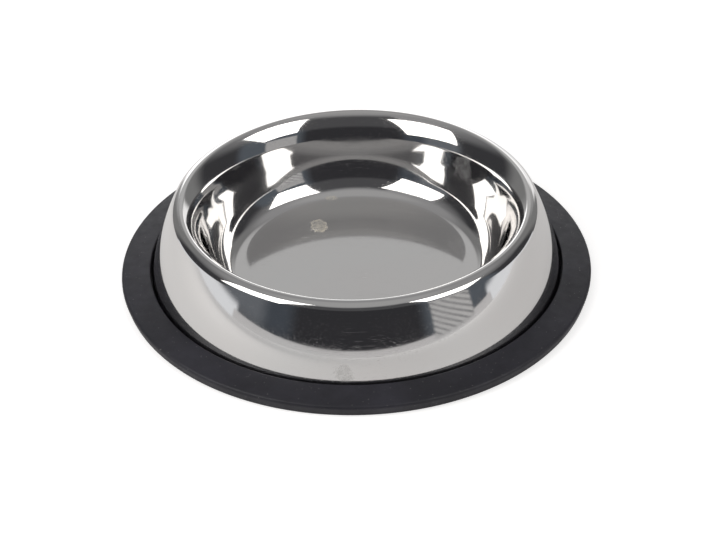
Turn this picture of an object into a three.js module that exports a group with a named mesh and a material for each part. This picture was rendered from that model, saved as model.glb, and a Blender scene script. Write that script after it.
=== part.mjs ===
// Low non-tip bowl for a cat or a small dog: one pressed stainless steel shell in a wide rubber ring.
// Millimetres, +Z up. The origin lies on the bowl's axis, on the surface that the ring stands on.
import * as THREE from 'three';

// Steel shell, measured on its polished face; the sheet lies behind that face.
// The rim's crest rolls over into the mouth on one side and into the skirt's shoulder on the other.
const sheet = 0.6;
const bowlHeight = 33.5;
const rimRadius = 68.1;
const rimRoll = 1.8;

// Inside, the mouth runs into a straight wall, the wall's hollow curve, a tighter bend, a corner, and
// a gutter round a floor that is pressed up very slightly. Lengths called curve are radii of the section.
const mouthCurve = 18.8;
const wallCurve = 64;
const bendCurve = 17.7;
const cornerCurve = 7.4;
const gutterCurve = 19.2;
const gutterWidth = 1.3;
const gutterHeight = 2.1;

// How far the wall leans back from upright, how many degrees its hollow curve turns through, and how
// far the face looks up from level, in degrees, where the other curves of the inside begin.
const wallSlope = 18;
const wallTurn = 7;
const mouthStart = 50;
const cornerStart = 48.6;
const gutterStart = 76.7;

// Outside, the crest rolls over the shoulder into the skirt, one long gentle curve, and its hem is bent
// upright. The skirt starts where the face looks up by skirtStart degrees.
const shoulderRoll = 4.6;
const skirtStart = 26;
const hemRadius = 81.8;
const hemBend = 3;
const hemStraight = 1.4;

// Rubber ring. The hem of the skirt stands in a groove in its top, held by the rubber on both sides.
const hemClearance = 0.5;
const hemRestGap = 0.3;
const grooveFloor = 2;
const ringFlange = 11.85;
const ringDraft = 1.2;
const ringEdgeHeight = 4.4;
const ringSeatHeight = 6;
const ringEdgeRound = 1.2;
const ringSeatRound = 0.5;
const ringFootRound = 0.6;
const lipWidth = 4.2;
const lipHeight = 4.4;
const lipRound = 0.6;
const gripGrooves = 3;
const gripGrooveWidth = 1.4;
const gripGrooveDepth = 0.5;

// Fineness of the turned surfaces: flats around the axis, and how far a flat may lie off its curve.
const flatsAround = 64;
const faceError = 0.03;
const backError = 0.08;

const radians = THREE.MathUtils.degToRad;
const sine = (angle) => Math.sin(radians(angle));
const cosine = (angle) => Math.cos(radians(angle));

// A stretch of the shell's section starts at (r, z), where its face points at the angle face,
// counted from straight out (0) over straight up (90) to straight in (180).
// A bend has a positive radius where the face bulges and a negative one where it is hollow.
function bend(start, radius, face) {
  return {
    start,
    radius,
    end: {
      r: start.r + radius * (cosine(face) - cosine(start.face)),
      z: start.z + radius * (sine(face) - sine(start.face)),
      face,
    },
  };
}

// A straight stretch runs on along the face; a negative length runs back towards the axis.
function run(start, length) {
  return {
    start,
    radius: 0,
    end: {
      r: start.r + length * sine(start.face),
      z: start.z - length * cosine(start.face),
      face: start.face,
    },
  };
}

// Finds by halving where a rising or falling value passes zero.
function solve(value, low, high) {
  const rising = value(high) > value(low);
  let from = low;
  let to = high;
  for (let step = 0; step < 60; step += 1) {
    const middle = (from + to) / 2;
    if (value(middle) > 0 === rising) {
      to = middle;
    } else {
      from = middle;
    }
  }
  return (from + to) / 2;
}

const hemBottom = grooveFloor + hemRestGap;
const hemBendHeight = hemBottom + hemStraight;
const crest = { r: rimRadius, z: bowlHeight, face: 90 };

// From the crest of the rim down the inner wall to the gutter, the lowest line of the floor.
// The wall's straight stretch takes up the depth that the curves leave.
function innerSide() {
  const wallFace = 180 - wallSlope;
  const roll = bend(crest, rimRoll, 180 - mouthStart);
  const mouth = bend(roll.end, mouthCurve, wallFace);
  const curves = [
    [-wallCurve, wallFace - wallTurn],
    [-bendCurve, 180 - cornerStart],
    [-cornerCurve, 180 - gutterStart],
    [-gutterCurve, 90],
  ];
  const depthLeft = (from) => {
    let point = from;
    for (const [radius, face] of curves) {
      point = bend(point, radius, face).end;
    }
    return point.z - gutterHeight;
  };
  const wall = run(mouth.end, depthLeft(mouth.end) / cosine(wallFace));
  const stretches = [roll, mouth, wall];
  for (const [radius, face] of curves) {
    stretches.push(bend(stretches.at(-1).end, radius, face));
  }
  return stretches;
}

// From the crest down the skirt to the hem, which stands upright in the ring.
// A skirt that still flares at its foot is bent in there, and one that leans in is bent out.
function outerSide(footFace) {
  const roll = bend(crest, shoulderRoll, skirtStart);
  const footBend = Math.sign(footFace) * hemBend;
  const skirtDrop = roll.end.z - hemBendHeight - footBend * sine(footFace);
  const skirtCurve = skirtDrop / (sine(skirtStart) - sine(footFace));
  const skirt = bend(roll.end, skirtCurve, footFace);
  const foot = bend(skirt.end, footBend, 0);
  return [roll, skirt, foot, run(foot.end, hemStraight)];
}

// The hem's radius sets how far the skirt leans from end to end, which is less than 45 degrees either way.
const lean = solve((angle) => outerSide(2 * angle - skirtStart).at(-1).end.r - hemRadius, -45, 45);

// The floor is pressed up in a very low dome inside its gutter, so that the bowl can't rock.
function floorDome(gutter) {
  const tilt = THREE.MathUtils.radToDeg(Math.asin(gutterWidth / gutterCurve));
  const rise = bend(gutter, -gutterCurve, 90 - tilt);
  const dome = bend(rise.end, rise.end.r / sine(tilt), 90);
  return [rise, dome];
}

const inward = innerSide();
const outward = outerSide(2 * lean - skirtStart);
inward.push(...floorDome(inward.at(-1).end));

// Points of one stretch on the face, or behind it by the given depth, without its first point.
function stretchPoints(stretch, depth, error) {
  const { start, end, radius } = stretch;
  const place = (r, z, face) => new THREE.Vector2(r - depth * cosine(face), z - depth * sine(face));
  if (radius === 0) {
    return [place(end.r, end.z, end.face)];
  }
  const perStep = 2 * Math.acos(1 - error / Math.abs(radius));
  const steps = Math.ceil(radians(Math.abs(end.face - start.face)) / perStep);
  const points = [];
  for (let step = 1; step <= steps; step += 1) {
    const face = start.face + ((end.face - start.face) * step) / steps;
    const point = bend(start, radius, face).end;
    points.push(place(point.r, point.z, face));
  }
  return points;
}

// One side of the sheet, from the axis over the rim to the hem.
function sheetSide(depth, error) {
  const top = new THREE.Vector2(crest.r, crest.z - depth);
  const inner = inward.flatMap((stretch) => stretchPoints(stretch, depth, error));
  const outer = outward.flatMap((stretch) => stretchPoints(stretch, depth, error));
  inner.at(-1).x = 0;
  return [...inner.reverse(), top, ...outer];
}

// Rounds the corners [r, z, radius] of a closed outline.
function roundedOutline(corners) {
  const count = corners.length;
  return corners.flatMap(([r, z, radius], index) => {
    const corner = new THREE.Vector2(r, z);
    if (radius === 0) {
      return [corner];
    }
    const before = new THREE.Vector2(...corners[(index + count - 1) % count]).sub(corner).normalize();
    const after = new THREE.Vector2(...corners[(index + 1) % count]).sub(corner).normalize();
    const half = Math.acos(before.dot(after)) / 2;
    const reach = radius / Math.sin(half);
    const centre = before.clone().add(after).normalize().multiplyScalar(reach).add(corner);
    const from = before.multiplyScalar(radius / Math.tan(half)).add(corner).sub(centre);
    const to = after.multiplyScalar(radius / Math.tan(half)).add(corner).sub(centre);
    const turn = Math.atan2(from.cross(to), from.dot(to));
    const steps = Math.ceil(Math.abs(turn) / (2 * Math.acos(1 - backError / radius)));
    const points = [];
    for (let step = 0; step <= steps; step += 1) {
      points.push(from.clone().rotateAround(new THREE.Vector2(), (turn * step) / steps).add(centre));
    }
    return points;
  });
}

function turned(outline) {
  const geometry = new THREE.LatheGeometry(outline, flatsAround);
  geometry.rotateX(Math.PI / 2);
  return geometry;
}

function steelBowl() {
  const face = sheetSide(0, faceError);
  const back = sheetSide(sheet, backError);
  const material = new THREE.MeshStandardMaterial({ color: 0xc9c8c6, roughness: 0.12, metalness: 1 });
  const mesh = new THREE.Mesh(turned([...back, ...face.reverse()]), material);
  mesh.name = 'steel_bowl';
  return mesh;
}

// Radius of the skirt's curve at a height.
function skirtRadius(height) {
  const { start, radius } = outward[1];
  const face = Math.asin(sine(start.face) + (height - start.z) / radius);
  return start.r + radius * (Math.cos(face) - cosine(start.face));
}

// The ring clears the widest part of the shell that stands in it: the hem, as long as the skirt flares.
// Its outer side is drafted, so that the foot is narrower than the edge above it.
function rubberRing() {
  const seatRadius = Math.max(hemRadius, skirtRadius(ringSeatHeight)) + hemClearance;
  const outerRadius = seatRadius + ringFlange;
  const footRadius = outerRadius - ringDraft;
  const grooveInner = hemRadius - sheet - hemClearance;
  const boreRadius = grooveInner - lipWidth;

  // Fine grip grooves run round the underside, evenly spaced across it.
  const grip = [];
  const pitch = (footRadius - boreRadius) / (gripGrooves + 1);
  for (let groove = 1; groove <= gripGrooves; groove += 1) {
    const middle = boreRadius + pitch * groove;
    grip.push([middle - gripGrooveWidth / 2, 0, 0], [middle - gripGrooveWidth / 4, gripGrooveDepth, 0]);
    grip.push([middle + gripGrooveWidth / 4, gripGrooveDepth, 0], [middle + gripGrooveWidth / 2, 0, 0]);
  }

  const outline = roundedOutline([
    [boreRadius, 0, ringFootRound],
    ...grip,
    [footRadius, 0, ringFootRound],
    [outerRadius, ringEdgeHeight, ringEdgeRound],
    [seatRadius, ringSeatHeight, ringSeatRound],
    [seatRadius, grooveFloor, 0],
    [grooveInner, grooveFloor, 0],
    [grooveInner, lipHeight, lipRound],
    [boreRadius, lipHeight, lipRound],
  ]);
  outline.push(outline[0].clone());
  const material = new THREE.MeshStandardMaterial({ color: 0x38383b, roughness: 0.6, metalness: 0 });
  const mesh = new THREE.Mesh(turned(outline), material);
  mesh.name = 'rubber_ring';
  return mesh;
}

const petBowl = new THREE.Group();
petBowl.add(rubberRing(), steelBowl());

export default petBowl;
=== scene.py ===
# Low non-tip pet bowl: a pressed and polished steel shell that stands in a wide rubber ring.
# Metres, +Z up. The bowl's axis is Z, and the ring stands on the plane Z = 0.
import math

import bpy
from mathutils import Matrix, Vector


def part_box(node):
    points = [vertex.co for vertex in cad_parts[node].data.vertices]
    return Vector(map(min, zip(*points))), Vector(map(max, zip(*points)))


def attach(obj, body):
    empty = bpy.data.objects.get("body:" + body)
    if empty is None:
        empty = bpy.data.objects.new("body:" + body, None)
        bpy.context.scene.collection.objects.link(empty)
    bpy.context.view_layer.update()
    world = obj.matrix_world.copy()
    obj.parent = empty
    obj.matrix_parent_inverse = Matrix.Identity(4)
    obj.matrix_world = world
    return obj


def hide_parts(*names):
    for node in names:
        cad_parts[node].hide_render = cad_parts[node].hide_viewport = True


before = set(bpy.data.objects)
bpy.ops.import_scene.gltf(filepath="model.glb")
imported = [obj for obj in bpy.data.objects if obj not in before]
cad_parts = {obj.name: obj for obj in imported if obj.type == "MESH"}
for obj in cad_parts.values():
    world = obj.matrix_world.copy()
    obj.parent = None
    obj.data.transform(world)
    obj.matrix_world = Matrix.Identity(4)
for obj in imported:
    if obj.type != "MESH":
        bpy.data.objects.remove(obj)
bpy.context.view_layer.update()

scene = bpy.context.scene
scene.view_settings.view_transform = "Standard"

# Camera
# A short telephoto lens looks down on the bowl from the front, three quarters of a metre away.
# It is aimed almost exactly at the middle of the ring and is turned slightly about its own axis.
camera_elevation = math.radians(35.163)
camera_distance = 0.744
camera_yaw = math.radians(-0.049)
camera_pitch = math.radians(-0.072)
camera_roll = math.radians(1.272)
sensor_width = 36.0
lens_length = 92.86

camera_place = Vector((0.0, -math.cos(camera_elevation), math.sin(camera_elevation))) * camera_distance
look = -camera_place.normalized()
across = Vector((1.0, 0.0, 0.0))
upward = across.cross(look)
turn = Matrix.Rotation(camera_yaw, 3, upward)
look, across = turn @ look, turn @ across
turn = Matrix.Rotation(camera_pitch, 3, across)
look, upward = turn @ look, turn @ upward
turn = Matrix.Rotation(camera_roll, 3, look)
across, upward = turn @ across, turn @ upward

camera_data = bpy.data.cameras.new("camera")
camera_data.sensor_width = sensor_width
camera_data.lens = lens_length
camera_data.clip_start = 0.01
camera = bpy.data.objects.new("camera", camera_data)
camera.matrix_world = Matrix.Translation(camera_place) @ Matrix((across, upward, -look)).transposed().to_4x4()
scene.collection.objects.link(camera)
scene.camera = camera


# Floor
# A wide sheet of white board, matt and without joints. It is seen as white by the camera, keeps the
# soft shadow of the ring, and shows in the steel as the pale board with a painted glow, for reflections only,
# that grows far out.
floor_radius = 0.9
floor_rings = 4
floor_sides = 96
floor_white = (0.83, 0.82, 0.82, 1.0)
floor_lift_to_white = 0.5
floor_painted_glow_near = 0.08
floor_painted_glow_far = 0.30
floor_near = 0.15
floor_far = 0.85
floor_roughness = 0.7
floor_shine = 0.2


def new_material(name):
    """An empty node material with its Principled shader and its output."""
    material = bpy.data.materials.new(name)
    material.use_nodes = True
    nodes = material.node_tree.nodes
    nodes.clear()
    shader = nodes.new("ShaderNodeBsdfPrincipled")
    output = nodes.new("ShaderNodeOutputMaterial")
    material.node_tree.links.new(shader.outputs["BSDF"], output.inputs["Surface"])
    return material, shader


def join_nodes(tree, source, target):
    tree.links.new(source, target)


def math_node(tree, operation, first, second=0.0, third=0.0):
    """A Math node on sockets or plain numbers; returns its result."""
    node = tree.nodes.new("ShaderNodeMath")
    node.operation = operation
    for index, value in enumerate((first, second, third)):
        if isinstance(value, bpy.types.NodeSocket):
            join_nodes(tree, value, node.inputs[index])
        else:
            node.inputs[index].default_value = value
    return node.outputs[0]


def mesh_object(name, vertices, faces):
    mesh = bpy.data.meshes.new(name)
    mesh.from_pydata(vertices, [], faces)
    mesh.validate()
    mesh.shade_smooth()
    thing = bpy.data.objects.new(name, mesh)
    scene.collection.objects.link(thing)
    return thing


floor_vertices = [(0.0, 0.0, 0.0)]
floor_faces = []
for ring in range(1, floor_rings + 1):
    radius = floor_radius * (ring / floor_rings) ** 2
    for side in range(floor_sides):
        angle = 2 * math.pi * side / floor_sides
        floor_vertices.append((radius * math.cos(angle), radius * math.sin(angle), 0.0))
for side in range(floor_sides):
    following = (side + 1) % floor_sides
    floor_faces.append((0, 1 + side, 1 + following))
    for ring in range(floor_rings - 1):
        inner = 1 + ring * floor_sides
        outer = inner + floor_sides
        floor_faces.append((inner + side, outer + side, outer + following, inner + following))
floor = mesh_object("floor", floor_vertices, floor_faces)

floor_finish, floor_shader = new_material("white_board")
floor_shader.inputs["Base Color"].default_value = floor_white
floor_shader.inputs["Roughness"].default_value = floor_roughness
floor_shader.inputs["Specular IOR Level"].default_value = floor_shine
floor_shader.inputs["Emission Color"].default_value = (1.0, 1.0, 1.0, 1.0)
board = floor_finish.node_tree
floor_path = board.nodes.new("ShaderNodeLightPath")
floor_place = board.nodes.new("ShaderNodeTexCoord")
floor_distance = board.nodes.new("ShaderNodeVectorMath")
floor_distance.operation = "LENGTH"
join_nodes(board, floor_place.outputs["Object"], floor_distance.inputs[0])
# Painted light: seen in the steel, the floor glows from 0.08 near the bowl to 0.30 far out, a glow added on
# top of its lit colour.
far_painted_glow = board.nodes.new("ShaderNodeMapRange")
join_nodes(board, floor_distance.outputs["Value"], far_painted_glow.inputs["Value"])
far_painted_glow.inputs["From Min"].default_value = floor_near
far_painted_glow.inputs["From Max"].default_value = floor_far
far_painted_glow.inputs["To Min"].default_value = floor_painted_glow_near
far_painted_glow.inputs["To Max"].default_value = floor_painted_glow_far
lift = math_node(board, "MULTIPLY", floor_path.outputs["Is Glossy Ray"], far_painted_glow.outputs["Result"])
lift = math_node(board, "MULTIPLY_ADD", floor_path.outputs["Is Camera Ray"], floor_lift_to_white, lift)
join_nodes(board, lift, floor_shader.inputs["Emission Strength"])
floor.data.materials.append(floor_finish)


# Light
# Two large softboxes stand left and right of the camera, above the bowl. The rest is the studio that the
# steel reflects: a pale sweep behind the bowl, and a dim room with a few paler walls and a slatted panel.
# Bearings are degrees round the bowl from the camera, to the right; heights are degrees up from level.
# For each softbox: bearing, height and distance of its middle, swing, tilt and spin of its face away from
# the bowl, width and length, and brightness.
softboxes = (
    ("softbox_left", (-67.0, 42.9, 0.501), (37.7, -19.3, -2.6), (0.364, 0.292), 3.2),
    ("softbox_right", (61.3, 39.9, 4.035), (6.1, 43.3, 19.9), (2.044, 2.592), 3.2),
)
softbox_cream = (1.0, 0.985, 0.955)
plain_level = 0.46

for name, (bearing, height, distance), (swing, tilt, spin), (width, length), brightness in softboxes:
    bearing = math.radians(bearing)
    height = math.radians(height)
    place = Vector((
        math.sin(bearing) * math.cos(height),
        -math.cos(bearing) * math.cos(height),
        math.sin(height),
    )) * distance
    aim = -place.normalized()
    level = Vector((0.0, 0.0, 1.0)).cross(aim).normalized()
    facing = Matrix((level, aim.cross(level), aim)).transposed()
    facing = facing @ Matrix.Rotation(math.radians(tilt), 3, "X")
    facing = facing @ Matrix.Rotation(math.radians(swing), 3, "Y")
    facing = facing @ Matrix.Rotation(math.radians(spin), 3, "Z")
    column_u, column_v, column_n = facing.transposed()
    lamp_data = bpy.data.lights.new(name, "AREA")
    lamp_data.shape = "RECTANGLE"
    lamp_data.size = width
    lamp_data.size_y = length
    lamp_data.energy = brightness * math.pi * width * length
    lamp_data.color = softbox_cream
    lamp = bpy.data.objects.new(name, lamp_data)
    lamp_turn = Matrix((column_u, -column_v, -column_n)).transposed().to_4x4()
    lamp.matrix_world = Matrix.Translation(place) @ lamp_turn
    lamp.visible_camera = False
    scene.collection.objects.link(lamp)

# What the studio holds: bearing from and to, height from and to, softness in degrees, and brightness.
# Bearings over 180 run on round the back.
room = (
    ("upper_wall", -180, 180, 34, 90, 8, (0.20, 0.20, 0.205)),
    ("ceiling", -180, 180, 47, 90, 8, (0.34, 0.34, 0.345)),
    ("zenith", -180, 180, 66, 90, 9, (0.44, 0.44, 0.44)),
    ("front_haze", -38, 42, 28, 60, 5, (0.09, 0.09, 0.095)),
    ("front_dark", -38, 42, 0, 32, 4, (0.038, 0.038, 0.042)),
    ("left_wall_end", -56, -36, 1, 30, 5, (0.070, 0.080, 0.096)),
    ("left_wall", -80, -52, 1, 30, 5, (0.160, 0.172, 0.190)),
    ("right_wall", 37, 88, 0, 35, 5, (0.11, 0.125, 0.145)),
    ("left_low_board", -125, -68, -5, 3.5, 1.5, (0.92, 0.94, 0.97)),
    ("right_low_board", 76, 125, -5, 3.5, 1.5, (0.92, 0.94, 0.97)),
    ("front_lip", -70, 78, -5, 1.4, 0.25, (0.65, 0.64, 0.64)),
    ("back_wall", 128, 232, -5, 44, 8, (0.24, 0.24, 0.24)),
    ("sweep", 152, 208, -5, 30, 6, (0.46, 0.46, 0.46)),
    ("sweep_top", 162, 198, 22, 46, 6, (0.56, 0.56, 0.56)),
    ("sweep_foot", 158, 202, -4, 22, 3, (1.9, 1.9, 1.9)),
    ("white_card", 148, 168, -5, 18, 3, (1.15, 1.15, 1.15)),
)
panel = (41, 65, 0, 24, 1)
panel_grey = (0.26, 0.26, 0.265, 1.0)
panel_rib_light = (0.60, 0.595, 0.59, 1.0)
panel_rib_pitch = 2.1
panel_rib_slant = 0.5
panel_rib_edge = -0.3
panel_rib_softness = 0.5
room_black = (0.05, 0.05, 0.054, 1.0)

world = bpy.data.worlds.new("studio")
scene.world = world
world.use_nodes = True
world.cycles.sampling_method = "NONE"
sky = world.node_tree
sky.nodes.clear()
direction = sky.nodes.new("ShaderNodeTexCoord").outputs["Generated"]
split = sky.nodes.new("ShaderNodeSeparateXYZ")
join_nodes(sky, direction, split.inputs[0])
toward_camera = math_node(sky, "MULTIPLY", split.outputs["Y"], -1.0)
bearing_angle = math_node(sky, "ARCTAN2", split.outputs["X"], toward_camera)
bearing_value = math_node(sky, "MULTIPLY", bearing_angle, 180 / math.pi)
left_of_camera = math_node(sky, "LESS_THAN", bearing_value, 0.0)
bearing_round_back = math_node(sky, "MULTIPLY_ADD", left_of_camera, 360.0, bearing_value)
height_angle = math_node(sky, "ARCSINE", split.outputs["Z"])
height_value = math_node(sky, "MULTIPLY", height_angle, 180 / math.pi)


def edge(tree, value, at, softness, rising=True):
    """0 to 1 across an edge of the given softness, or 1 to 0 where it falls."""
    node = tree.nodes.new("ShaderNodeMapRange")
    node.interpolation_type = "SMOOTHSTEP"
    join_nodes(tree, value, node.inputs["Value"])
    node.inputs["From Min"].default_value = at - softness
    node.inputs["From Max"].default_value = at + softness
    node.inputs["To Min"].default_value = 0.0 if rising else 1.0
    node.inputs["To Max"].default_value = 1.0 if rising else 0.0
    return node.outputs["Result"]


def colour_sockets(node):
    return [socket for socket in node.inputs if socket.type == "RGBA"]


def mix_over(tree, factor, below, above):
    """The colour above laid over the one below by the factor."""
    node = tree.nodes.new("ShaderNodeMix")
    node.data_type = "RGBA"
    if isinstance(factor, bpy.types.NodeSocket):
        join_nodes(tree, factor, node.inputs[0])
    else:
        node.inputs[0].default_value = factor
    first, second = colour_sockets(node)
    for value, socket in ((below, first), (above, second)):
        if isinstance(value, bpy.types.NodeSocket):
            join_nodes(tree, value, socket)
        else:
            socket.default_value = value
    return [socket for socket in node.outputs if socket.type == "RGBA"][0]


def room_mask(left, right, low, high, softness):
    """1 inside a patch of the studio, from bearing to bearing and from height to height."""
    mask = edge(sky, height_value, low, softness)
    if high < 90:
        mask = math_node(sky, "MULTIPLY", mask, edge(sky, height_value, high, softness, False))
    if right - left < 360:
        bearing = bearing_round_back if right > 180 else bearing_value
        mask = math_node(sky, "MULTIPLY", mask, edge(sky, bearing, left, softness))
        mask = math_node(sky, "MULTIPLY", mask, edge(sky, bearing, right, softness, False))
    return mask


view = room_black
for name, left, right, low, high, softness, colour in room:
    view = mix_over(sky, room_mask(left, right, low, high, softness), view, (*colour, 1.0))
panel_mask = room_mask(*panel)
view = mix_over(sky, panel_mask, view, panel_grey)
rib_run = math_node(sky, "MULTIPLY_ADD", bearing_value, panel_rib_slant, height_value)
rib_wave = math_node(sky, "SINE", math_node(sky, "MULTIPLY", rib_run, 2 * math.pi / panel_rib_pitch))
rib_light = edge(sky, rib_wave, panel_rib_edge, panel_rib_softness)
view = mix_over(sky, math_node(sky, "MULTIPLY", panel_mask, rib_light), view, panel_rib_light)

path = sky.nodes.new("ShaderNodeLightPath")
level_colour = (plain_level, plain_level, plain_level, 1.0)
seen = mix_over(sky, path.outputs["Is Glossy Ray"], level_colour, view)
seen = mix_over(sky, path.outputs["Is Camera Ray"], seen, (1.0, 1.0, 1.0, 1.0))
background = sky.nodes.new("ShaderNodeBackground")
background.inputs["Strength"].default_value = 1.0
join_nodes(sky, seen, background.inputs["Color"])
world_output = sky.nodes.new("ShaderNodeOutputWorld")
join_nodes(sky, background.outputs[0], world_output.inputs["Surface"])


# Rubber ring
# One moulding of black rubber: a wide flat flange that rises slightly to the steel, a groove that the
# hem of the skirt stands in, and a low lip inside it. Three fine grip grooves run round its foot.
bowl_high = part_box("steel_bowl")[1]
hem_radius = bowl_high.x
sheet = 0.0006
hem_clearance = 0.0005
groove_floor = 0.002
ring_flange = 0.0118
ring_draft = 0.0012
ring_edge_height = 0.0044
ring_seat_height = 0.006
ring_edge_round = 0.0012
ring_seat_round = 0.0005
ring_foot_round = 0.0006
lip_width = 0.0042
lip_height = 0.0044
lip_round = 0.0006
grip_grooves = 3
grip_groove_width = 0.0014
grip_groove_depth = 0.0005
ring_sides = 360
round_step = math.radians(9)
sharp_edge = math.radians(30)
on_axis = 1e-9

rubber_black = (0.011, 0.0105, 0.0165, 1.0)
rubber_worn = (0.022, 0.021, 0.031, 1.0)
dust_grey = (0.24, 0.23, 0.22, 1.0)
dust_cover = 0.55
rubber_grain_depth = 0.00004
rubber_scuff_depth = 0.00006


def rounded_outline(corners):
    """Points of a closed outline whose corners (r, z, radius) are rounded."""
    points = []
    count = len(corners)
    for index, (r, z, radius) in enumerate(corners):
        corner = Vector((r, z))
        if radius == 0:
            points.append(corner)
            continue
        before = (Vector(corners[index - 1][:2]) - corner).normalized()
        after = (Vector(corners[(index + 1) % count][:2]) - corner).normalized()
        half = math.acos(before.dot(after)) / 2
        centre = corner + (before + after).normalized() * (radius / math.sin(half))
        first = corner + before * (radius / math.tan(half)) - centre
        last = corner + after * (radius / math.tan(half)) - centre
        sweep_angle = math.atan2(first.x * last.y - first.y * last.x, first.dot(last))
        steps = math.ceil(abs(sweep_angle) / round_step)
        for step in range(steps + 1):
            points.append(centre + Matrix.Rotation(sweep_angle * step / steps, 2) @ first)
    return points


def turned_object(name, outline, sides, closed):
    """A body turned about Z from points (r, z); an open outline starts and ends on the axis."""
    vertices = []
    rows = []
    for r, z in outline:
        if r < on_axis:
            rows.append([len(vertices)] * sides)
            vertices.append((0.0, 0.0, z))
            continue
        rows.append(list(range(len(vertices), len(vertices) + sides)))
        for side in range(sides):
            angle = 2 * math.pi * side / sides
            vertices.append((r * math.cos(angle), r * math.sin(angle), z))
    faces = []
    spans = len(rows) if closed else len(rows) - 1
    for row in range(spans):
        near = rows[row]
        far = rows[(row + 1) % len(rows)]
        for side in range(sides):
            following = (side + 1) % sides
            corners = (near[side], near[following], far[following], far[side])
            faces.append(tuple(dict.fromkeys(corners)))
    return mesh_object(name, vertices, faces)


seat_radius = hem_radius + hem_clearance
groove_inner = hem_radius - sheet - hem_clearance
bore_radius = groove_inner - lip_width
ring_radius = seat_radius + ring_flange
foot_radius = ring_radius - ring_draft
grip_pitch = (foot_radius - bore_radius) / (grip_grooves + 1)
grip = []
for groove in range(1, grip_grooves + 1):
    middle = bore_radius + grip_pitch * groove
    grip.append((middle - grip_groove_width / 2, 0.0, 0))
    grip.append((middle - grip_groove_width / 4, grip_groove_depth, 0))
    grip.append((middle + grip_groove_width / 4, grip_groove_depth, 0))
    grip.append((middle + grip_groove_width / 2, 0.0, 0))
ring_outline = rounded_outline([
    (bore_radius, 0.0, ring_foot_round),
    *grip,
    (foot_radius, 0.0, ring_foot_round),
    (ring_radius, ring_edge_height, ring_edge_round),
    (seat_radius, ring_seat_height, ring_seat_round),
    (seat_radius, groove_floor, 0),
    (groove_inner, groove_floor, 0),
    (groove_inner, lip_height, lip_round),
    (bore_radius, lip_height, lip_round),
])
ring_piece = turned_object("rubber_base_ring", ring_outline, ring_sides, True)
ring_piece.data.set_sharp_from_angle(angle=sharp_edge)

rubber, rubber_shader = new_material("moulded_black_rubber")
grain = rubber.node_tree
rubber_place = grain.nodes.new("ShaderNodeTexCoord").outputs["Object"]


def noise_node(tree, vector, scale, detail=2.0, roughness=0.5):
    """A noise texture; scale is in cells per metre where the vector is a place."""
    node = tree.nodes.new("ShaderNodeTexNoise")
    join_nodes(tree, vector, node.inputs["Vector"])
    node.inputs["Scale"].default_value = scale
    node.inputs["Detail"].default_value = detail
    node.inputs["Roughness"].default_value = roughness
    return node.outputs["Fac"]


def range_node(tree, value, from_low, from_high, to_low, to_high):
    """Carries a value from one range to another, and clamps it there."""
    node = tree.nodes.new("ShaderNodeMapRange")
    join_nodes(tree, value, node.inputs["Value"])
    node.inputs["From Min"].default_value = from_low
    node.inputs["From Max"].default_value = from_high
    node.inputs["To Min"].default_value = to_low
    node.inputs["To Max"].default_value = to_high
    return node.outputs["Result"]


def bump_node(tree, height, distance, normal=None):
    """Raises the surface by height times distance, in metres."""
    node = tree.nodes.new("ShaderNodeBump")
    node.inputs["Distance"].default_value = distance
    node.inputs["Strength"].default_value = 1.0
    join_nodes(tree, height, node.inputs["Height"])
    if normal is not None:
        join_nodes(tree, normal, node.inputs["Normal"])
    return node.outputs["Normal"]


def specks(tree, vector, scale, share, size):
    """Small round specks: 1 in the middle of the chosen share of the cells, 0 elsewhere."""
    cells = tree.nodes.new("ShaderNodeTexVoronoi")
    join_nodes(tree, vector, cells.inputs["Vector"])
    cells.inputs["Scale"].default_value = scale
    red = tree.nodes.new("ShaderNodeSeparateColor")
    join_nodes(tree, cells.outputs["Color"], red.inputs[0])
    chosen = math_node(tree, "LESS_THAN", red.outputs[0], share)
    near = range_node(tree, cells.outputs["Distance"], size * 0.5, size, 1.0, 0.0)
    return math_node(tree, "MULTIPLY", chosen, near)


rubber_grain = noise_node(grain, rubber_place, 2600, 3.0, 0.6)
rubber_cloud = noise_node(grain, rubber_place, 42, 4.0, 0.6)
rubber_scuff = noise_node(grain, rubber_place, 210, 5.0, 0.65)
rubber_wear = range_node(grain, rubber_cloud, 0.42, 0.72, 0.0, 1.0)
rubber_dust = specks(grain, rubber_place, 430, 0.04, 0.13)
rubber_fine_dust = specks(grain, rubber_place, 1500, 0.04, 0.30)
rubber_colour = mix_over(grain, rubber_wear, rubber_black, rubber_worn)
rubber_all_dust = math_node(grain, "MAXIMUM", rubber_dust, rubber_fine_dust)
rubber_dust_share = math_node(grain, "MULTIPLY", rubber_all_dust, dust_cover)
rubber_colour = mix_over(grain, rubber_dust_share, rubber_colour, dust_grey)
join_nodes(grain, rubber_colour, rubber_shader.inputs["Base Color"])
rubber_roughness = range_node(grain, rubber_scuff, 0.3, 0.7, 0.42, 0.58)
join_nodes(grain, rubber_roughness, rubber_shader.inputs["Roughness"])
rubber_shader.inputs["Specular IOR Level"].default_value = 0.5
rubber_bump = bump_node(grain, rubber_grain, rubber_grain_depth)
rubber_bump = bump_node(grain, rubber_scuff, rubber_scuff_depth, rubber_bump)
join_nodes(grain, rubber_bump, rubber_shader.inputs["Normal"])
ring_piece.data.materials.append(rubber)

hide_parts("rubber_ring")
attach(ring_piece, "ring")


# Steel bowl
# One sheet of stainless steel, drawn in a press to the inner bowl, rolled over at the rim and flared
# out to a skirt whose hem stands in the ring's groove. It is polished all over but for a satin floor.
bowl_height = bowl_high.z
rim_radius = 0.0681
rim_roll = 0.0018
mouth_curve = 0.0188
wall_curve = 0.064
bend_curve = 0.0177
corner_curve = 0.0074
gutter_curve = 0.0192
gutter_width = 0.0013
gutter_height = 0.0021
mouth_start = 50
wall_slope = 18
wall_turn = 7
corner_start = 48.6
gutter_start = 76.7
shoulder_roll = 0.0046
skirt_start = 26
hem_bend = 0.003
hem_straight = 0.0014
hem_rest_gap = 0.0003
bowl_sides = 320

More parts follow.
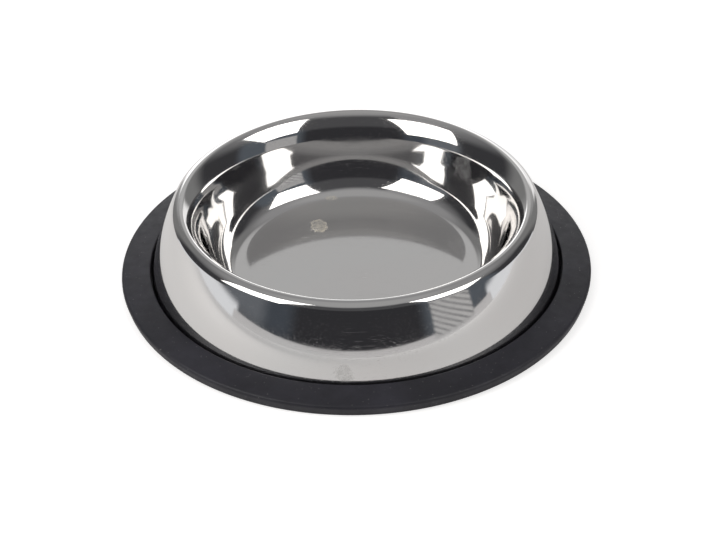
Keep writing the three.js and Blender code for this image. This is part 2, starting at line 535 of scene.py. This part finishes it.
# Fineness of the polished face and of the hidden back: degrees to a step on curves, and metres elsewhere.
face_step = 2.2
face_length = 0.0016
back_step = 7.0
back_length = 0.004
hem_step = 20


def sine(angle):
    return math.sin(math.radians(angle))


def cosine(angle):
    return math.cos(math.radians(angle))


def bend(start, radius, face):
    """A round stretch of the sheet's face from start (r, z, face), until the face looks up by face degrees.
    The radius is positive where the face bulges and negative where it is hollow."""
    r, z, old = start
    return (r + radius * (cosine(face) - cosine(old)), z + radius * (sine(face) - sine(old)), face)


def run(start, length):
    """A straight stretch; a negative length runs back towards the axis."""
    r, z, face = start
    return (r + length * sine(face), z - length * cosine(face), face)


def solve(value, low, high):
    """Finds by halving where a value passes zero."""
    rising = value(high) > value(low)
    for _ in range(60):
        middle = (low + high) / 2
        if (value(middle) > 0) == rising:
            high = middle
        else:
            low = middle
    return (low + high) / 2


crest = (rim_radius, bowl_height, 90.0)
hem_bottom = groove_floor + hem_rest_gap
wall_face = 180 - wall_slope
wall_bends = (
    (-wall_curve, wall_face - wall_turn),
    (-bend_curve, 180 - corner_start),
    (-corner_curve, 180 - gutter_start),
    (-gutter_curve, 90),
)


def inner_side():
    """Stretches from the crest to the gutter: (start, radius, last face), or radius 0 and a length."""
    stretches = [(crest, rim_roll, 180 - mouth_start)]
    point = bend(*stretches[-1])
    stretches.append((point, mouth_curve, wall_face))
    point = bend(*stretches[-1])
    foot = point
    for radius, face in wall_bends:
        foot = bend(foot, radius, face)
    length = (foot[1] - gutter_height) / cosine(wall_face)
    stretches.append((point, 0, length))
    point = run(point, length)
    for radius, face in wall_bends:
        stretches.append((point, radius, face))
        point = bend(point, radius, face)
    return stretches, point


def outer_side(foot_face):
    """Stretches from the crest over the shoulder and down the skirt to the hem."""
    stretches = [(crest, shoulder_roll, skirt_start)]
    point = bend(*stretches[-1])
    drop = point[1] - hem_bottom - hem_straight - hem_bend * sine(foot_face)
    stretches.append((point, drop / (sine(skirt_start) - sine(foot_face)), foot_face))
    point = bend(*stretches[-1])
    stretches.append((point, hem_bend, 0.0))
    point = bend(*stretches[-1])
    stretches.append((point, 0, hem_straight))
    return stretches, run(point, hem_straight)


# The hem's radius sets how far the skirt leans from end to end; lean_range holds the answer, in degrees.
lean_range = (14, 25)
lean = solve(lambda angle: outer_side(2 * angle - skirt_start)[1][0] - hem_radius, *lean_range)
inner_stretches, gutter = inner_side()
outer_stretches, hem_end = outer_side(2 * lean - skirt_start)
gutter_radius = gutter[0]
floor_tilt = math.degrees(math.asin(gutter_width / gutter_curve))
floor_edge = bend(gutter, -gutter_curve, 90 - floor_tilt)
dome_curve = floor_edge[0] / sine(floor_tilt)
inner_stretches.append((gutter, -gutter_curve, 90 - floor_tilt))
inner_stretches.append((floor_edge, dome_curve, 90.0))


def stretch_points(stretches, step, straight_step):
    """Points (r, z, face) along the stretches, without the first one."""
    points = []
    for start, radius, last in stretches:
        if radius == 0:
            count = max(1, math.ceil(abs(last) / straight_step))
            points += [run(start, last * (index + 1) / count) for index in range(count)]
            continue
        length = abs(radius) * math.radians(abs(last - start[2]))
        count = max(2, math.ceil(abs(last - start[2]) / step), math.ceil(length / straight_step))
        for index in range(1, count + 1):
            points.append(bend(start, radius, start[2] + (last - start[2]) * index / count))
    return points


def sheet_side(step, straight_step, depth):
    """One side of the sheet from the axis over the rim to the hem: (r, z, face)."""
    inner = stretch_points(inner_stretches, step, straight_step)
    outer = stretch_points(outer_stretches, step, straight_step)
    points = inner[::-1] + [crest] + outer
    moved = [(r - depth * cosine(face), z - depth * sine(face), face) for r, z, face in points]
    moved[0] = (0.0, moved[0][1], 90.0)
    return moved


face_points = sheet_side(face_step, face_length, 0.0)
back_points = sheet_side(back_step, back_length, sheet)
hem_round = [
    (
        hem_end[0] - sheet / 2 + sheet / 2 * cosine(angle),
        hem_end[1] + sheet / 2 * sine(angle),
        angle,
    )
    for angle in range(hem_step - 180, 0, hem_step)
]
outline = [(r, z, face + 180) for r, z, face in back_points] + hem_round + face_points[::-1]
bowl_piece = turned_object("polished_steel_bowl", [(r, z) for r, z, face in outline], bowl_sides, False)
normals = []
for r, z, face in outline:
    if r < on_axis:
        normals.append((0.0, 0.0, sine(face)))
        continue
    for side in range(bowl_sides):
        angle = 2 * math.pi * side / bowl_sides
        normals.append((
            cosine(face) * math.cos(angle),
            cosine(face) * math.sin(angle),
            sine(face),
        ))
bowl_piece.data.normals_split_custom_set_from_vertices(normals)

steel_colour = (0.675, 0.670, 0.664, 1.0)
steel_warm = (0.680, 0.666, 0.658, 1.0)
wave_depth = 0.00001
broad_line_depth = 0.0000002
fine_line_depth = 0.0000001
scratch_depth = 0.0000008
scratch_roughness = 0.18
mark_roughness = 0.3
mark_raggedness = 1.9

# Marks of use: middle, reach along x, y and z, colour, how much of it shows in the middle and at the edge.
marks = (
    ("dried_drop", (-0.0153, 0.0267, 0.0031), (0.0036, 0.0056, 0.004), (0.60, 0.53, 0.41), 0.50, 0.75),
    ("dried_smear", (-0.0100, 0.0478, 0.0026), (0.0028, 0.0013, 0.004), (0.50, 0.42, 0.28), 0.35, 0.30),
    ("water_haze", (0.0450, 0.0397, 0.0210), (0.0050, 0.0050, 0.006), (0.52, 0.52, 0.53), 0.22, 0.16),
    ("finger_mark", (-0.0053, -0.0796, 0.0096), (0.0032, 0.006, 0.0034), (0.46, 0.45, 0.44), 0.40, 0.20),
)

steel, steel_shader = new_material("polished_stainless_steel")
finish = steel.node_tree
steel_place = finish.nodes.new("ShaderNodeTexCoord").outputs["Object"]
parts = finish.nodes.new("ShaderNodeSeparateXYZ")
join_nodes(finish, steel_place, parts.inputs[0])
flat_place = finish.nodes.new("ShaderNodeCombineXYZ")
join_nodes(finish, parts.outputs["X"], flat_place.inputs["X"])
join_nodes(finish, parts.outputs["Y"], flat_place.inputs["Y"])
measure = finish.nodes.new("ShaderNodeVectorMath")
measure.operation = "LENGTH"
join_nodes(finish, flat_place.outputs[0], measure.inputs[0])
radius_here = measure.outputs["Value"]
unit = finish.nodes.new("ShaderNodeVectorMath")
unit.operation = "NORMALIZE"
join_nodes(finish, flat_place.outputs[0], unit.inputs[0])
unit_parts = finish.nodes.new("ShaderNodeSeparateXYZ")
join_nodes(finish, unit.outputs[0], unit_parts.inputs[0])
along = math_node(finish, "MULTIPLY_ADD", radius_here, 0.6, parts.outputs["Z"])


def polishing_lines(around, across_lines):
    """Noise drawn out round the bowl: cells this many to a radian, and this many to a metre across."""
    place = finish.nodes.new("ShaderNodeCombineXYZ")
    join_nodes(finish, math_node(finish, "MULTIPLY", unit_parts.outputs["X"], around), place.inputs["X"])
    join_nodes(finish, math_node(finish, "MULTIPLY", unit_parts.outputs["Y"], around), place.inputs["Y"])
    join_nodes(finish, math_node(finish, "MULTIPLY", along, across_lines), place.inputs["Z"])
    return noise_node(finish, place.outputs[0], 1.0, 2.0, 0.6)


def hairlines(turned_by, length, width):
    """Scratches in one direction, as noise stretched along it; length and width in metres."""
    mapping = finish.nodes.new("ShaderNodeMapping")
    mapping.inputs["Rotation"].default_value = turned_by
    mapping.inputs["Scale"].default_value = (1 / length, 1 / width, 1 / width)
    join_nodes(finish, steel_place, mapping.inputs["Vector"])
    drawn = noise_node(finish, mapping.outputs[0], 1.0, 1.0, 0.5)
    return range_node(finish, drawn, 0.68, 0.76, 0.0, 1.0)


fine_lines = polishing_lines(7.0, 5200)
broad_lines = polishing_lines(3.0, 900)
haze = noise_node(finish, steel_place, 55, 5.0, 0.62)
waves = noise_node(finish, steel_place, 34, 1.0, 0.4)
scratches = hairlines((0.3, 0.2, 0.5), 0.016, 0.00022)
for turned_by, length in (((1.1, -0.4, 1.9), 0.011), ((-0.7, 0.9, 2.8), 0.020)):
    scratches = math_node(finish, "MAXIMUM", scratches, hairlines(turned_by, length, 0.00018))
satin = math_node(
    finish,
    "MULTIPLY",
    edge(finish, radius_here, gutter_radius + 0.0006, 0.0012, False),
    edge(finish, parts.outputs["Z"], bowl_height / 2, 0.002, False),
)
polished_roughness = range_node(finish, haze, 0.35, 0.75, 0.03, 0.07)
satin_roughness = range_node(finish, haze, 0.3, 0.7, 0.05, 0.09)
roughness_mix = finish.nodes.new("ShaderNodeMix")
join_nodes(finish, satin, roughness_mix.inputs[0])
join_nodes(finish, polished_roughness, roughness_mix.inputs[2])
join_nodes(finish, satin_roughness, roughness_mix.inputs[3])
steel_roughness = math_node(finish, "MULTIPLY_ADD", scratches, scratch_roughness, roughness_mix.outputs[0])
line_roughness = range_node(finish, fine_lines, 0.3, 0.7, -0.01, 0.015)
steel_roughness = math_node(finish, "ADD", steel_roughness, line_roughness)

tint = noise_node(finish, steel_place, 24, 3.0, 0.55)
base = mix_over(finish, range_node(finish, tint, 0.35, 0.7, 0.0, 1.0), steel_colour, steel_warm)
ragged = noise_node(finish, steel_place, 190, 4.0, 0.7)
patchy = range_node(finish, noise_node(finish, steel_place, 520, 3.0, 0.6), 0.35, 0.6, 0.35, 1.0)
marked = 0.0
for name, middle, reach, colour, cover_inside, cover_edge in marks:
    offset = finish.nodes.new("ShaderNodeVectorMath")
    offset.operation = "SUBTRACT"
    join_nodes(finish, steel_place, offset.inputs[0])
    offset.inputs[1].default_value = middle
    shrunk = finish.nodes.new("ShaderNodeVectorMath")
    shrunk.operation = "DIVIDE"
    join_nodes(finish, offset.outputs[0], shrunk.inputs[0])
    shrunk.inputs[1].default_value = reach
    length = finish.nodes.new("ShaderNodeVectorMath")
    length.operation = "LENGTH"
    join_nodes(finish, shrunk.outputs[0], length.inputs[0])
    far = math_node(finish, "MULTIPLY_ADD", ragged, mark_raggedness, length.outputs["Value"])
    inside = range_node(finish, far, 1.72, 2.0, cover_inside, 0.0)
    rim = math_node(
        finish,
        "MULTIPLY",
        range_node(finish, far, 1.5, 1.72, 0.0, cover_edge),
        range_node(finish, far, 1.82, 2.0, 1.0, 0.0),
    )
    cover = math_node(finish, "MULTIPLY", math_node(finish, "MAXIMUM", inside, rim), patchy)
    base = mix_over(finish, cover, base, (*colour, 1.0))
    marked = math_node(finish, "MAXIMUM", marked, cover)
join_nodes(finish, base, steel_shader.inputs["Base Color"])
steel_roughness = math_node(finish, "MULTIPLY_ADD", marked, mark_roughness, steel_roughness)
join_nodes(finish, steel_roughness, steel_shader.inputs["Roughness"])
join_nodes(finish, math_node(finish, "SUBTRACT", 1.0, marked), steel_shader.inputs["Metallic"])
steel_bump = bump_node(finish, waves, wave_depth)
steel_bump = bump_node(finish, broad_lines, broad_line_depth, steel_bump)
steel_bump = bump_node(finish, fine_lines, fine_line_depth, steel_bump)
steel_bump = bump_node(finish, scratches, -scratch_depth, steel_bump)
join_nodes(finish, steel_bump, steel_shader.inputs["Normal"])
bowl_piece.data.materials.append(steel)

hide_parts("steel_bowl")
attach(bowl_piece, "bowl")
